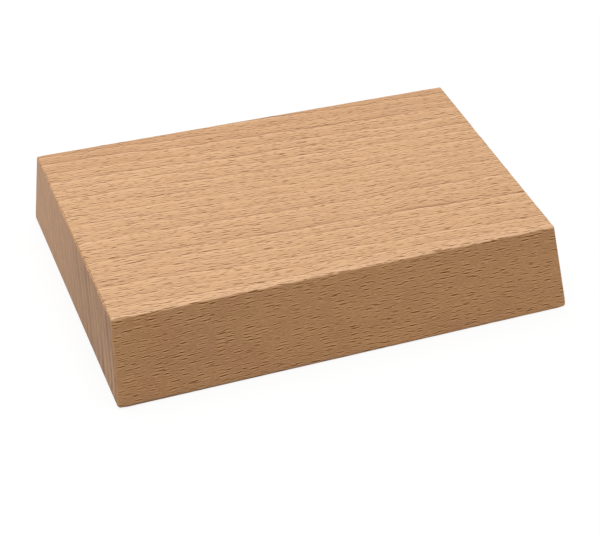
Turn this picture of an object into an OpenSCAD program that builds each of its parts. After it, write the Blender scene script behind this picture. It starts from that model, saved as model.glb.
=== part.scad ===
// Wooden display stand: one solid block of beech, cut along the grain.
// The front, the back and the right end lean in towards a flat top, the
// left end is sawn square, and every edge and corner is eased by sanding,
// rounder at the two ends than along the block.

/* [Block] */
// Length of the base, along the grain
base_l = 150; // [60:1:300]
// Width of the base, front to back
base_w = 95; // [50:1:200]
// Height from the base to the top
height = 29.5; // [12:0.5:60]

/* [Sides] */
// Lean of the front and the back, in degrees from upright
side_lean = 12.5; // [1:0.5:30]
// Lean of the right end, in degrees from upright
end_lean = 12.5; // [1:0.5:30]

/* [Edges] */
// Radius of the four long edges
edge_r = 0.5; // [0.2:0.1:0.9]
// Radius of the corners and of the edges round each end
end_r = 1; // [0.9:0.1:4]
// Length over which a long edge softens towards an end
end_run = 3; // [1:0.5:10]

/* [Hidden] */

// Facets round one eased corner
corner_facets = 32;

// How far a leaning face has come in from the base at height z
function side_inset(z) = z * tan(side_lean);
function end_inset(z) = z * tan(end_lean);

// A ball with true poles, so that faces laid on it keep their exact height
module eased_ball(r) {
    rotate_extrude($fn = corner_facets)
        intersection() {
            circle(r = r, $fn = corner_facets);
            translate([0, -r])
                square([r, 2 * r]);
        }
}

// Four balls of radius r with their middles at height z, each touching the
// front or the back, and set in from the two ends by run
module ball_ring(z, r, run) {
    left_x = r + run - base_l / 2;
    right_x = base_l / 2 - end_inset(z) - r / cos(end_lean) - run;
    side_y = base_w / 2 - side_inset(z) - r / cos(side_lean);
    for (x = [left_x, right_x], y = [-side_y, side_y])
        translate([x, y, z])
            eased_ball(r);
}

// The balls of radius r that touch the base and those that touch the top
module both_rings(r, run) {
    ball_ring(r, r, run);
    ball_ring(height - r, r, run);
}

module stand_block() {
    color("burlywood")
        hull() {
            both_rings(end_r, 0);
            both_rings(edge_r, end_run);
        }
}

stand_block();
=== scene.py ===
import math

import bmesh
import bpy
from mathutils import Matrix, Vector, noise


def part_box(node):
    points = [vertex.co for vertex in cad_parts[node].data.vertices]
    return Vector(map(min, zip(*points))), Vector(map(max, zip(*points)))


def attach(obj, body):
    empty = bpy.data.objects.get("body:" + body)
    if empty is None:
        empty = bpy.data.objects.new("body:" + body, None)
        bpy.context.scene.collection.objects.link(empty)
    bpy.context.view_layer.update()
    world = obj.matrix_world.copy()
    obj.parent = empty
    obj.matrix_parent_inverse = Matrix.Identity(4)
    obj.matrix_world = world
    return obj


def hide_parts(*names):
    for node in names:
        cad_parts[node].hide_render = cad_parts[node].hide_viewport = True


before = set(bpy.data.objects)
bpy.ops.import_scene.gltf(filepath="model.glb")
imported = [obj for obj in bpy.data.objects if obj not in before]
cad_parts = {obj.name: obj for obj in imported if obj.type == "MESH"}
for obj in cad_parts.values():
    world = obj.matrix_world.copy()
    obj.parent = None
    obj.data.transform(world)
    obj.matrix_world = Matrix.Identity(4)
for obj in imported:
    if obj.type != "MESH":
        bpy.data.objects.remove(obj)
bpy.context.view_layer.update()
mm = 0.001
print("frame loaded:", sorted(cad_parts))


def linear(hexColour):
    # sRGB hex to the linear colour that the sockets take
    parts = [int(hexColour[i:i + 2], 16) / 255 for i in (0, 2, 4)]
    return [c / 12.92 if c <= 0.04045 else ((c + 0.055) / 1.055) ** 2.4 for c in parts] + [1.0]


def addNode(tree, kind, *values, **settings):
    # values fill the node's live inputs in order: a node gives its first live output, None leaves one alone
    node = tree.nodes.new(kind if kind.startswith("Node") else "ShaderNode" + kind)
    for name, setting in settings.items():
        setattr(node, name, setting)
    for socket, value in zip([s for s in node.inputs if s.enabled], values):
        if isinstance(value, bpy.types.Node):
            value = next(s for s in value.outputs if s.enabled)
        if isinstance(value, bpy.types.NodeSocket):
            tree.links.new(value, socket)
        elif value is not None:
            socket.default_value = value
    return node


# camera, in millimetres and degrees, from the edges of the block in the photo
cameraSpot = {
    "target": (-0.49, -4.35, 0.0),
    "azimuth": -25.14,
    "elevation": 39.89,
    "roll": 4.99,
    "distance": 508.3,
    "lens": 93.62,
    "sensor": 36.0,
    "clipStart": 10.0,
}


def placeCamera(spot):
    azimuth = math.radians(spot["azimuth"])
    elevation = math.radians(spot["elevation"])
    level = math.cos(elevation)
    back = Vector((math.sin(azimuth) * level, -math.cos(azimuth) * level, math.sin(elevation)))
    camera = bpy.data.objects.new("camera", bpy.data.cameras.new("camera"))
    camera.data.sensor_fit = "HORIZONTAL"
    camera.data.sensor_width = spot["sensor"]
    camera.data.lens = spot["lens"]
    camera.data.clip_start = spot["clipStart"] * mm
    camera.location = Vector(spot["target"]) * mm + back * spot["distance"] * mm
    turn = back.to_track_quat("Z", "Y").to_matrix()
    camera.rotation_euler = (turn @ Matrix.Rotation(math.radians(spot["roll"]), 3, "Z")).to_euler()
    bpy.context.scene.collection.objects.link(camera)
    bpy.context.scene.camera = camera


placeCamera(cameraSpot)
print("camera placed")


# the block, in millimetres and degrees, as the saw and the sanding left it
standBlock = {
    "blank": 400.0,           # the piece of beech that it is sawn from
    "lean": 12.5,             # of the front, the back and the right end
    "easing": 0.5,            # radius of the long edges
    "footEasing": 1.0,        # radius at the foot of the two ends
    "endEasing": 0.7,         # radius round the rest of the two ends
    "footRun": 3.0,           # height over which the one passes into the other
    "endRun": 3.0,            # length over which a long edge softens towards an end
    "roundReach": 1.3,        # how far in from an edge its round is looked for, in radii
    "edgeLoops": (0.17, 0.3, 0.4, 0.5, 0.6, 0.8, 1.0, 1.25),    # cuts along an edge, in from its line
    "gridStep": 1.5,
    "tolerance": 1e-4,        # of each cut
    "flatWeight": 80,         # how far the flats lead the shading of the rounds
    "rimWidth": 2.4,          # rubbed strip along the top of each end
    "rimTurn": 0.5,           # how far it comes round on to the top
    "edgeWander": 0.1,        # how deep the hand sanding wanders along an edge
    "wanderLength": 7.0,
    "rimChips": 1.3,          # no chip that the saw left along the top of the ends is deeper
    "chipLength": 2.4,
    "fibreLoss": 0.2,         # fibres lost from an edge, here and there
    "lossLength": 2.6,
    "lossLevel": 0.32,        # the higher, the fewer of them
    "lossShift": (7, 3, 5),   # moves them aside from the wander
    "nick": (-57.0, -41.0, 29.5),    # one small knock near the front left corner
    "nickDepth": 0.4,
    "nickReach": 2.2,
}


def blockWalls(shape):
    # a point on each face and its outward normal, from the box of the CAD block
    low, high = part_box("stand_block")
    lean = math.radians(shape["lean"])
    level, rise = math.cos(lean), math.sin(lean)
    # an eased foot stands back from its sharp line by this share of its radius
    footLoss = math.tan(lean) + 1 / level - 1
    sideLoss = shape["easing"] * mm * footLoss
    endLoss = shape["footEasing"] * mm * footLoss
    return {
        "left": (Vector((low.x, 0, low.z)), Vector((-1, 0, 0))),
        "right": (Vector((high.x + endLoss, 0, low.z)), Vector((level, 0, rise))),
        "front": (Vector((0, low.y - sideLoss, low.z)), Vector((0, -level, rise))),
        "back": (Vector((0, high.y + sideLoss, low.z)), Vector((0, level, rise))),
        "foot": (Vector((0, 0, low.z)), Vector((0, 0, -1))),
        "top": (Vector((0, 0, high.z)), Vector((0, 0, 1))),
    }


def sawBlock(shape, walls):
    block = bmesh.new()

    def cut(at, normal, away=False):
        return bmesh.ops.bisect_plane(
            block, geom=block.verts[:] + block.edges[:] + block.faces[:], dist=shape["tolerance"] * mm,
            plane_co=at, plane_no=normal, clear_outer=away)["geom_cut"]

    bmesh.ops.create_cube(block, size=shape["blank"] * mm)
    for at, normal in walls.values():
        sawn = cut(at, normal, away=True)
        bmesh.ops.holes_fill(block, edges=[e for e in sawn if isinstance(e, bmesh.types.BMEdge)])
    bmesh.ops.recalc_face_normals(block, faces=block.faces[:])

    # loops along the edges for their round, and a grid for them to wander on
    low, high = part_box("stand_block")
    step = shape["gridStep"] * mm
    for at, normal in walls.values():
        for inset in shape["edgeLoops"]:
            cut(at - normal * inset * mm, normal)
    for axis in range(3):
        normal = Vector((axis == 0, axis == 1, axis == 2))
        for count in range(1, int((high[axis] - low[axis]) / step)):
            cut(Vector(low) + normal * count * step, normal)
    return block


def wayOut(gaps, normals, reach, limit):
    # from the nearest point of the block set in by reach to a point near an edge, or None on a flat
    held = [i for i, gap in enumerate(gaps) if gap < limit * reach]
    while len(held) > 1:
        corner = Matrix([[normals[i].dot(normals[j]) for j in held] for i in held])
        shares = corner.inverted() @ Vector([reach - gaps[i] for i in held])
        if min(shares) >= 0:
            return sum((normals[i] * share for i, share in zip(held, shares)), Vector())
        del held[min(range(len(held)), key=lambda k: shares[k])]
    return None


def easeEdges(block, shape, walls):
    rubbed = block.verts.layers.float.new("rubbedRim")
    normals = [normal for at, normal in walls.values()]
    easing, endEasing, footEasing = (shape[key] * mm for key in ("easing", "endEasing", "footEasing"))
    for vert in block.verts:
        gap = {name: (at - vert.co).dot(normal) for name, (at, normal) in walls.items()}
        toEnd = min(gap["left"], gap["right"])
        onRim = max(0.0, 1.0 - gap["top"] / (shape["rimWidth"] * mm))
        vert[rubbed] = onRim * max(0.0, 1.0 - toEnd / (shape["rimTurn"] * mm))
        softer = max(0.0, 1.0 - toEnd / (shape["endRun"] * mm))
        lower = (shape["footRun"] * mm - gap["foot"]) / (shape["footRun"] * mm - footEasing)
        lower = min(1.0, max(0.0, lower))
        reach = easing + (endEasing + (footEasing - endEasing) * lower - easing) * softer
        way = wayOut(list(gap.values()), normals, reach, shape["roundReach"])
        if way is None:
            continue
        # worn by hand along the edge: the second nearest face tells how far that is
        near = max(0.0, 1.0 - sorted(gap.values())[1] / (shape["roundReach"] * easing))
        wander = 0.5 + 0.5 * noise.noise(vert.co / (shape["wanderLength"] * mm))
        loss = noise.noise(vert.co / (shape["lossLength"] * mm) + Vector(shape["lossShift"]))
        loss = max(0.0, loss - shape["lossLevel"])
        nick = (vert.co - Vector(shape["nick"]) * mm).length / (shape["nickReach"] * mm)
        nick = max(0.0, 1.0 - nick ** 2)
        chip = max(0.0, noise.noise(vert.co / (shape["chipLength"] * mm))) * vert[rubbed]
        worn = shape["edgeWander"] * wander + shape["fibreLoss"] * loss + shape["nickDepth"] * nick
        worn += shape["rimChips"] * chip
        vert.co -= way.normalized() * (max(0.0, way.length - reach) + worn * near * mm)


def finishBlock(block, shape, name):
    mesh = bpy.data.meshes.new(name)
    block.to_mesh(mesh)
    block.free()
    mesh.shade_smooth()
    piece = bpy.data.objects.new(name, mesh)
    bpy.context.scene.collection.objects.link(piece)
    evenNormals = piece.modifiers.new("evenNormals", "WEIGHTED_NORMAL")
    evenNormals.weight = shape["flatWeight"]
    return piece


walls = blockWalls(standBlock)
block = sawBlock(standBlock, walls)
easeEdges(block, standBlock, walls)
beechBlock = finishBlock(block, standBlock, "beech_block")
print("block modelled:", len(beechBlock.data.polygons), "faces")


# beech, planed, fine-sanded and thinly oiled: pale pinkish straw, rings as thin broken lines on the top,
# rays as short brown dashes on the front and back, a quiet greyer end, all satin and not shiny
# sizes in millimetres
beechLook = {
    "sideColour": "bc8854",
    "topColour": "cea277",
    "endColour": "c89d79",
    "deepColour": "a77c55",
    # redder patches on the sides; also the painted shade towards the back of the top
    "ruddyColour": "a2693e",
    "edgeColour": "b98b5e",
    "ringColour": "7d4f2b",
    # pale wood; also the painted highlight along the front of the top and on the lips beside the dashes
    # there
    "paleColour": "efc6a0",
    # painted highlight on the lips beside the rays on the front and back
    "sideLipHighlightColour": "dba874",
    "strokeColour": "6e4104",
    "dashColour": "613507",
    # painted shadow: the dark line where the foot meets the table
    "footShadeColour": "46403c",
    "grainTilt": (0.0, 3.0),    # degrees that the grain runs off the length, seen from the front and above
    "middle": 15.0,             # height that the patterns are centred on
    "sway": 4.0,                # how far the grain sways off a straight line
    "octaves": 2.0,
    "streakShare": 0.7,         # of the broad tone
    "pith": (150.0, -43.0),     # where the rings are centred, behind and below the block
    "ringWidth": 4.1,
    "ringLine": 0.44,
    "ringWobble": 2.2,
    "ringUneven": 0.9,          # how much the years differ in width
    "unevenScale": 0.6,
    "endLine": (0.85, 24.0),    # width and height of the lines on the end grain
    "roundShare": 0.35,         # how far the end grain keeps off the upright rounds
    "roughness": 0.52,
    "roughSpread": (-0.05, 0.06),
    "poreRough": 0.2,
    "poreDepth": 0.015,
    "weaveRelief": 0.2,
    "bump": 0.6,
    "ior": 1.5,

    # soft patterns: length along the grain and width across it
    "noise": {
        "waver": (90.0, 38.0),
        "patch": (17.0, 9.0),
        "streak": (24.0, 1.3),
        "fibre": (7.0, 0.42),
        "grit": (1.0, 0.36),
        "chip": (3.0, 3.0),
    },

    # how each pattern is read: from and to, and what these two become
    "ranges": {
        "onEnd": (0.6, 0.96, 0.0, 1.0),
        "onTop": (0.35, 0.75, 0.0, 1.0),
        "onSide": (0.45, 0.9, 0.0, 1.0),
        "yearLine": (0.0, 1.0, 0.4, 0.85),
        "broken": (0.4, 0.6, 0.1, 1.0),
        "fresh": (0.3, 0.0, 0.0, 0.32),
        "tone": (0.34, 0.84, 0.05, 0.42),
        "ruddy": (0.4, 0.7, 0.0, 0.28),
        "onFibre": (0.0, 1.0, 0.15, 0.6),
        "weaveShare": (0.0, 1.0, 0.3, 0.25),
        "weaveDark": (0.5, 0.25, 0.0, 1.0),
        "weavePale": (0.5, 0.75, 0.0, 1.0),
        "weaveRough": (0.3, 0.7),
        "upright": (0.5, 0.66, 0.0, 0.42),
        "bands": (0.5, 1.0, 0.0, 0.42),
        "specks": (0.45, 0.7, 0.0, 0.08),
        "crowd": (0.3, 0.9, 0.75, 1.0),
        "ragged": (0.45, 0.6, 0.0, 0.8),
        "shine": (0.0, 1.0, 0.4, 0.12),
    },

    # how a tone changes over the block, painted shade and highlight among them: the axis, from and to, and
    # what these two become
    "falls": {
        # painted shade towards the back of the top
        "backShade": ("Y", 24.0, 41.0, 0.0, 0.26),
        # painted highlight along the front of the top
        "frontSheen": ("Y", -36.0, -41.0, 0.0, 0.25),
        "toLeft": ("X", 40.0, -75.0, 0.0, 0.48),
        "toFront": ("Y", 10.0, -36.0, 0.15, 0.8),
        "sawn": ("X", -60.0, 60.0, 1.0, 0.45),
        "endTone": ("Y", 32.0, -5.0, 0.0, 0.15),
        "nearFront": ("Y", 35.0, -5.0, 0.4, 1.0),
        # painted shadow at the foot, over its lowest 1.3 mm, stronger towards the left
        "footShade": ("Z", 1.3, 0.0, 0.0, 1.0),
        "footShadeLeftward": ("X", 75.0, -75.0, 0.3, 1.0),
    },

    # short marks along the grain: the cell that each lies in, half its length and width, the share of cells
    # that have one, how dark it is and how bright the painted highlight on its lip; the finest are drawn
    # about twice as wide as real vessels, or they would not show
    "marks": {
        "sideRay": {"face": "side", "cell": (4.8, 1.4, 1.0), "length": 2.4, "width": 0.28, "share": 0.92,
                    "dark": 1.0, "pale": 0.85},
        "sideFine": {"face": "side", "cell": (3.4, 0.95, 1.0), "length": 1.5, "width": 0.21, "share": 0.8,
                     "dark": 0.65, "pale": 0.425},
        "topDash": {"face": "top", "cell": (4.6, 1.15, 1.0), "length": 2.5, "width": 0.27, "share": 0.9,
                    "dark": 1.0, "pale": 0.4},
        "topFine": {"face": "top", "cell": (2.8, 0.8, 1.0), "length": 1.3, "width": 0.2, "share": 0.75,
                    "dark": 0.7, "pale": 0.2},
    },

    # how one mark differs from the next
    "markSpread": {
        "scatter": 0.85,
        "length": (0.0, 1.0, 0.6, 1.25),
        "width": (0.0, 1.0, 0.8, 1.15),
        "tilt": (0.0, 1.0, -0.04, 0.04),
        "strength": (0.2, 0.8, 0.5, 1.0),
        "core": (1.0, 0.35, 0.0, 1.0),     # from the edge of a dash to its dark middle
        "lip": (1.0, 0.5, 0.0, 1.0),
        "lipReach": 0.4,                   # the lip's width is the dash's over this
    },
}


def dashGroup(spread):
    # short spindles along the grain, one to a cell, where rays and vessels are cut open
    group = bpy.data.node_groups.new("rayDashes", "ShaderNodeTree")
    for name, kind in (("Face", "Vector"), ("Cell", "Vector"), ("Length", "Float"), ("Width", "Float"),
                       ("Share", "Float")):
        group.interface.new_socket(name, in_out="INPUT", socket_type="NodeSocket" + kind)
    for name in ("Dash", "LipHighlight"):
        group.interface.new_socket(name, in_out="OUTPUT", socket_type="NodeSocketFloat")
    given = addNode(group, "NodeGroupInput").outputs

    cell = addNode(group, "VectorMath", given["Face"], given["Cell"], operation="DIVIDE")
    seeds = addNode(group, "TexVoronoi", cell, 1.0, voronoi_dimensions="2D", feature="F1")
    seeds.inputs["Randomness"].default_value = spread["scatter"]
    gap = addNode(group, "VectorMath", cell, seeds.outputs["Position"], operation="SUBTRACT")
    offset = addNode(group, "VectorMath", gap, given["Cell"], operation="MULTIPLY")
    offset = addNode(group, "SeparateXYZ", offset).outputs
    chance = addNode(group, "SeparateColor", seeds.outputs["Color"]).outputs
    luck = addNode(group, "TexWhiteNoise", seeds.outputs["Position"], noise_dimensions="2D")

    # each dash has its own length, width, strength and slight tilt
    longer = addNode(group, "MapRange", chance["Red"], *spread["length"])
    halfLength = addNode(group, "Math", given["Length"], longer, operation="MULTIPLY")
    wider = addNode(group, "MapRange", chance["Green"], *spread["width"])
    halfWidth = addNode(group, "Math", given["Width"], wider, operation="MULTIPLY")
    tilt = addNode(group, "MapRange", chance["Blue"], *spread["tilt"])
    level = addNode(group, "Math", offset["X"], tilt, offset["Y"], operation="MULTIPLY_ADD")
    reach = addNode(group, "Math", offset["X"], halfLength, operation="DIVIDE")
    taper = addNode(group, "Math", reach, 2.0, operation="POWER")
    side = addNode(group, "Math", level, halfWidth, operation="DIVIDE")
    side = addNode(group, "Math", side, operation="ABSOLUTE")
    kept = addNode(group, "Math", luck, given["Share"], operation="LESS_THAN")
    strength = addNode(group, "MapRange", luck.outputs["Color"], *spread["strength"])
    shown = addNode(group, "Math", kept, strength, operation="MULTIPLY")

    # the lip is a painted highlight: a paler rim on both sides of the dash, where light catches the cut's
    # edges
    spindle = addNode(group, "Math", taper, side, operation="ADD")
    dash = addNode(group, "MapRange", spindle, *spread["core"], interpolation_type="SMOOTHSTEP")
    rim = addNode(group, "Math", side, spread["lipReach"], taper, operation="MULTIPLY_ADD")
    rim = addNode(group, "MapRange", rim, *spread["lip"], interpolation_type="SMOOTHSTEP")
    rim = addNode(group, "Math", rim, dash, operation="SUBTRACT", use_clamp=True)
    dash = addNode(group, "Math", dash, shown, operation="MULTIPLY")
    rim = addNode(group, "Math", rim, shown, operation="MULTIPLY")
    addNode(group, "NodeGroupOutput", dash, rim)
    return group


def oiledBeech(look):
    material = bpy.data.materials.new("oiledBeech")
    material.use_nodes = True
    tree = material.node_tree
    tree.nodes.clear()
    place = addNode(tree, "TexCoord").outputs
    ranges = look["ranges"]
    perMm = (1 / mm, 1 / mm, 1 / mm)

    # millimetres along and across the grain
    tiltY, tiltZ = (math.radians(t) for t in look["grainTilt"])
    straight = addNode(tree, "Mapping", place["Object"], (0, 0, -look["middle"]), (0, tiltY, tiltZ), perMm)
    soft = {}
    for name, (length, width) in look["noise"].items():
        space = addNode(tree, "Mapping", straight, None, None, (1 / length, 1 / width, 1 / width))
        soft[name] = addNode(tree, "TexNoise", space, 1.0, look["octaves"])
    sway = look["sway"]
    bend = addNode(tree, "VectorMath", soft["waver"].outputs["Color"], (0, sway, sway),
                   (0, -sway / 2, -sway / 2), operation="MULTIPLY_ADD")
    grain = addNode(tree, "VectorMath", straight, bend, operation="ADD")
    grainParts = addNode(tree, "SeparateXYZ", grain).outputs

    # tones that change over the block
    spot = addNode(tree, "VectorMath", place["Object"], perMm, operation="MULTIPLY")
    spot = addNode(tree, "SeparateXYZ", spot).outputs
    falls = {}
    for name, (axis, *numbers) in look["falls"].items():
        falls[name] = addNode(tree, "MapRange", spot[axis], *numbers)

    # which way the wood is cut: across the rings on the top, along them at the sides, end grain at the ends
    facing = addNode(tree, "VectorMath", place["Normal"], operation="ABSOLUTE")
    facing = addNode(tree, "SeparateXYZ", facing).outputs
    onEnd = addNode(tree, "Math", facing["Y"], -look["roundShare"], facing["X"], operation="MULTIPLY_ADD")
    onEnd = addNode(tree, "MapRange", onEnd, *ranges["onEnd"], interpolation_type="SMOOTHSTEP")
    onTop = addNode(tree, "MapRange", facing["Z"], *ranges["onTop"], interpolation_type="SMOOTHSTEP")
    onSide = addNode(tree, "MapRange", facing["Y"], *ranges["onSide"], interpolation_type="SMOOTHSTEP")

    # growth rings round the pith
    spoke = addNode(tree, "VectorMath", grain, (0.0, -look["pith"][0], -look["pith"][1]), operation="ADD")
    spoke = addNode(tree, "VectorMath", spoke, (0, 1, 1), operation="MULTIPLY")
    radius = addNode(tree, "VectorMath", spoke, operation="LENGTH").outputs["Value"]
    radius = addNode(tree, "Math", soft["patch"], look["ringWobble"], radius, operation="MULTIPLY_ADD")
    ring = addNode(tree, "Math", radius, look["ringWidth"], operation="DIVIDE")
    uneven = addNode(tree, "TexNoise", ring, look["unevenScale"], 1.0, noise_dimensions="1D")
    ring = addNode(tree, "Math", uneven, look["ringUneven"], ring, operation="MULTIPLY_ADD")
    season = addNode(tree, "Math", ring, operation="FRACT")
    year = addNode(tree, "Math", ring, operation="FLOOR")
    year = addNode(tree, "TexWhiteNoise", year, noise_dimensions="1D")

    # each year starts pale, darkens slowly and ends in a thin dark line, full over its last third, which is
    # broken, and stronger in some years
    lineShare = look["ringLine"] / look["ringWidth"]
    ringEdge = addNode(tree, "MapRange", season, 1 - lineShare, 1 - lineShare / 3, 0.0, 1.0,
                       interpolation_type="SMOOTHSTEP")
    yearLine = addNode(tree, "MapRange", year, *ranges["yearLine"])
    ringEdge = addNode(tree, "Math", ringEdge, yearLine, operation="MULTIPLY")
    broken = addNode(tree, "MapRange", soft["streak"], *ranges["broken"])
    lines = addNode(tree, "Math", ringEdge, broken, operation="MULTIPLY")
    lines = addNode(tree, "Math", lines, onTop, operation="MULTIPLY")
    fresh = addNode(tree, "MapRange", season, *ranges["fresh"])
    fresh = addNode(tree, "Math", fresh, broken, operation="MULTIPLY")
    fresh = addNode(tree, "Math", fresh, onTop, operation="MULTIPLY")

    # broad tone, in years, patches and streaks, and darker at the left of the sides; painted shade towards
    # the back of the top, and a painted highlight along the front of the top
    tone = addNode(tree, "Math", season, soft["patch"], operation="MULTIPLY")
    tone = addNode(tree, "Math", soft["streak"], look["streakShare"], tone, operation="MULTIPLY_ADD")
    tone = addNode(tree, "MapRange", tone, *ranges["tone"])
    backShade = addNode(tree, "Math", falls["backShade"], onTop, operation="MULTIPLY")
    frontSheen = addNode(tree, "Math", falls["frontSheen"], onTop, operation="MULTIPLY")
    toLeft = addNode(tree, "Math", falls["toLeft"], onSide, operation="MULTIPLY")
    ruddy = addNode(tree, "MapRange", soft["patch"], *ranges["ruddy"])
    ruddy = addNode(tree, "Math", ruddy, onSide, operation="MULTIPLY")

    # mostly fine fibre on the top, and mostly grit on the other faces
    onFibre = addNode(tree, "MapRange", onTop, *ranges["onFibre"])
    weave = addNode(tree, "Mix", onFibre, soft["grit"], soft["fibre"], data_type="FLOAT")
    weaveShare = addNode(tree, "MapRange", onTop, *ranges["weaveShare"])
    weaveDark = addNode(tree, "MapRange", weave, *ranges["weaveDark"])
    weaveDark = addNode(tree, "Math", weaveDark, weaveShare, operation="MULTIPLY")
    weavePale = addNode(tree, "MapRange", weave, *ranges["weavePale"])
    weavePale = addNode(tree, "Math", weavePale, weaveShare, operation="MULTIPLY")

    # end grain: fine upright lines and the years as bands, towards the front, where the end is also darker,
    # with faint specks all over, and clearer on the square-sawn left end
    width, height = look["endLine"]
    endFace = addNode(tree, "CombineXYZ", radius, grainParts["Z"])
    endFace = addNode(tree, "VectorMath", endFace, (1 / width, 1 / height, 0), operation="MULTIPLY")
    upright = addNode(tree, "TexNoise", endFace, 1.0, 1.0, noise_dimensions="2D")
    upright = addNode(tree, "MapRange", upright, *ranges["upright"])
    bands = addNode(tree, "MapRange", season, *ranges["bands"])
    ends = addNode(tree, "Math", upright, bands, operation="ADD")
    ends = addNode(tree, "Math", ends, falls["toFront"], operation="MULTIPLY")
    specks = addNode(tree, "MapRange", soft["chip"], *ranges["specks"])
    ends = addNode(tree, "Math", ends, specks, operation="ADD")
    ends = addNode(tree, "Math", ends, falls["sawn"], operation="MULTIPLY")
    ends = addNode(tree, "Math", ends, falls["endTone"], operation="ADD")
    ends = addNode(tree, "Math", ends, onEnd, operation="MULTIPLY")

    dashes = dashGroup(look["markSpread"])
    faces = {"top": grain, "side": addNode(tree, "CombineXYZ", grainParts["X"], grainParts["Z"])}
    dark = {}
    pale = {}
    for name, size in look["marks"].items():
        mark = addNode(tree, "Group", faces[size["face"]], node_tree=dashes)
        for socket in ("Cell", "Length", "Width", "Share"):
            mark.inputs[socket].default_value = size[socket.lower()]
        dark[name] = addNode(tree, "Math", mark.outputs["Dash"], size["dark"], operation="MULTIPLY")
        pale[name] = addNode(tree, "Math", mark.outputs["LipHighlight"], size["pale"], operation="MULTIPLY")

    # painted highlights: pale lips beside the marks, where light catches their edges
    topLipHighlight = addNode(tree, "Math", pale["topDash"], pale["topFine"], operation="ADD")
    topLipHighlight = addNode(tree, "Math", topLipHighlight, onTop, operation="MULTIPLY", use_clamp=True)
    sideLipHighlight = addNode(tree, "Math", pale["sideRay"], pale["sideFine"], operation="ADD")
    sideLipHighlight = addNode(tree, "Math", sideLipHighlight, onSide, operation="MULTIPLY", use_clamp=True)

    # dark dashes, crowding towards the ring edges on the top
    crowd = addNode(tree, "MapRange", season, *ranges["crowd"])
    topDark = addNode(tree, "Math", dark["topDash"], crowd, operation="MULTIPLY")
    topDark = addNode(tree, "Math", topDark, dark["topFine"], operation="MAXIMUM")
    topDark = addNode(tree, "Math", topDark, onTop, operation="MULTIPLY")
    sideDark = addNode(tree, "Math", dark["sideRay"], dark["sideFine"], operation="MAXIMUM")
    sideDark = addNode(tree, "Math", sideDark, onSide, operation="MULTIPLY")
    pores = addNode(tree, "Math", topDark, sideDark, operation="ADD", use_clamp=True)

    # the rubbed rim along the top of each end takes more oil, most of it near the front
    worn = addNode(tree, "Attribute", attribute_name="rubbedRim").outputs["Fac"]
    ragged = addNode(tree, "MapRange", soft["chip"], *ranges["ragged"])
    worn = addNode(tree, "Math", worn, ragged, operation="MULTIPLY", use_clamp=True)
    worn = addNode(tree, "Math", worn, falls["nearFront"], operation="MULTIPLY")

    # painted shadow along the foot: a dark line where it meets the table, most of it at the left, and none
    # on the underside
    footShade = addNode(tree, "Math", falls["footShade"], falls["footShadeLeftward"], operation="MULTIPLY")
    notUnder = addNode(tree, "Math", 1.0, onTop, operation="SUBTRACT")
    footShade = addNode(tree, "Math", footShade, notUnder, operation="MULTIPLY")

    # colour, from the cut of the face to the smallest marks
    colour = linear(look["sideColour"])
    for amount, name in ((onTop, "topColour"), (onEnd, "endColour"), (tone, "deepColour"),
                         (backShade, "ruddyColour"), (frontSheen, "paleColour"), (toLeft, "deepColour"),
                         (ruddy, "ruddyColour"), (weaveDark, "deepColour"), (weavePale, "paleColour"),
                         (fresh, "paleColour"), (lines, "ringColour"), (ends, "dashColour"),
                         (worn, "edgeColour"), (topLipHighlight, "paleColour"), (sideLipHighlight, "sideLipHighlightColour"),
                         (topDark, "strokeColour"), (sideDark, "dashColour"), (footShade, "footShadeColour")):
        colour = addNode(tree, "Mix", amount, colour, linear(look[name]), data_type="RGBA")

    # satin, duller on the end grain and in the pores, which are also a little sunk
    smoother, rougher = (look["roughness"] + change for change in look["roughSpread"])
    rough = addNode(tree, "MapRange", weave, *ranges["weaveRough"], smoother, rougher)
    rough = addNode(tree, "Math", pores, look["poreRough"], rough, operation="MULTIPLY_ADD")
    relief = addNode(tree, "Math", weave, look["weaveRelief"], operation="MULTIPLY")
    relief = addNode(tree, "Math", relief, pores, operation="SUBTRACT")
    sunk = addNode(tree, "Bump")
    sunk.inputs["Strength"].default_value = look["bump"]
    sunk.inputs["Distance"].default_value = look["poreDepth"] * mm
    tree.links.new(relief.outputs[0], sunk.inputs["Height"])
    wood = addNode(tree, "BsdfPrincipled")
    wood.inputs["IOR"].default_value = look["ior"]
    matt = addNode(tree, "Math", pores, onEnd, operation="MAXIMUM")
    shine = addNode(tree, "MapRange", matt, *ranges["shine"])
    tree.links.new(shine.outputs[0], wood.inputs["Specular IOR Level"])
    tree.links.new(colour.outputs[2], wood.inputs["Base Color"])
    tree.links.new(rough.outputs[0], wood.inputs["Roughness"])
    tree.links.new(sunk.outputs[0], wood.inputs["Normal"])
    addNode(tree, "OutputMaterial", wood)
    return material


beechBlock.data.materials.append(oiledBeech(beechLook))
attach(beechBlock, "root")
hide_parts("stand_block")
print("beech laid on")


# a white table that keeps a soft shadow, and a white room, in metres
stage = {
    "tableSize": 4.0,
    "tableGap": 0.00005,      # a hair below the foot, so that the two faces keep apart
    "tableColour": "dedcd8",
    "seenColour": "fbfbfb",
    "shadowShare": 0.14,
    "roomLight": 0.42,
    "softboxSize": 0.9,
    "softboxSpot": (-0.12, 0.1, 0.95),
    "softboxPower": 9.0,
}


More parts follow.
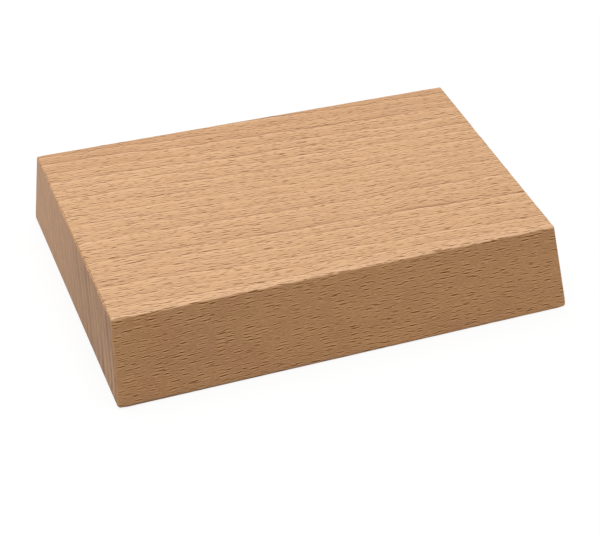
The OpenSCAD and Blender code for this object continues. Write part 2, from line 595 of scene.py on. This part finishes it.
def seenDirectly(tree):
    # 1 for what the camera sees, itself or in a gloss or a glass
    path = addNode(tree, "LightPath").outputs
    seen = addNode(tree, "Math", path["Is Camera Ray"], path["Is Glossy Ray"], operation="MAXIMUM")
    return addNode(tree, "Math", seen, path["Is Transmission Ray"], operation="MAXIMUM")


def layTable(look):
    table = bmesh.new()
    bmesh.ops.create_grid(table, x_segments=1, y_segments=1, size=look["tableSize"] / 2)
    bmesh.ops.translate(table, verts=table.verts[:], vec=(0, 0, -look["tableGap"]))
    mesh = bpy.data.meshes.new("table")
    table.to_mesh(mesh)
    table.free()
    piece = bpy.data.objects.new("table", mesh)
    bpy.context.scene.collection.objects.link(piece)

    material = bpy.data.materials.new("whiteTable")
    material.use_nodes = True
    tree = material.node_tree
    tree.nodes.clear()
    matt = addNode(tree, "BsdfDiffuse", linear(look["tableColour"]))
    glow = addNode(tree, "Emission", (1, 1, 1, 1), 1.0)
    shadow = addNode(tree, "BsdfDiffuse", linear(look["seenColour"]))
    shaded = addNode(tree, "MixShader", look["shadowShare"], glow, shadow)
    both = addNode(tree, "MixShader", seenDirectly(tree), matt, shaded)
    addNode(tree, "OutputMaterial", both)
    mesh.materials.append(material)


def lightRoom(look):
    world = bpy.data.worlds.new("room")
    world.use_nodes = True
    tree = world.node_tree
    tree.nodes.clear()
    strength = addNode(tree, "MapRange", seenDirectly(tree), 0.0, 1.0, look["roomLight"], 1.0)
    air = addNode(tree, "Background", (1, 1, 1, 1), strength)
    addNode(tree, "OutputWorld", air)
    bpy.context.scene.world = world

    softbox = bpy.data.lights.new("softbox", "AREA")
    softbox.size = look["softboxSize"]
    softbox.energy = look["softboxPower"]
    lamp = bpy.data.objects.new("softbox", softbox)
    lamp.location = look["softboxSpot"]
    lamp.rotation_euler = lamp.location.to_track_quat("Z", "Y").to_euler()
    bpy.context.scene.collection.objects.link(lamp)


layTable(stage)
lightRoom(stage)
bpy.context.scene.view_settings.view_transform = "Standard"
print("stage lit")
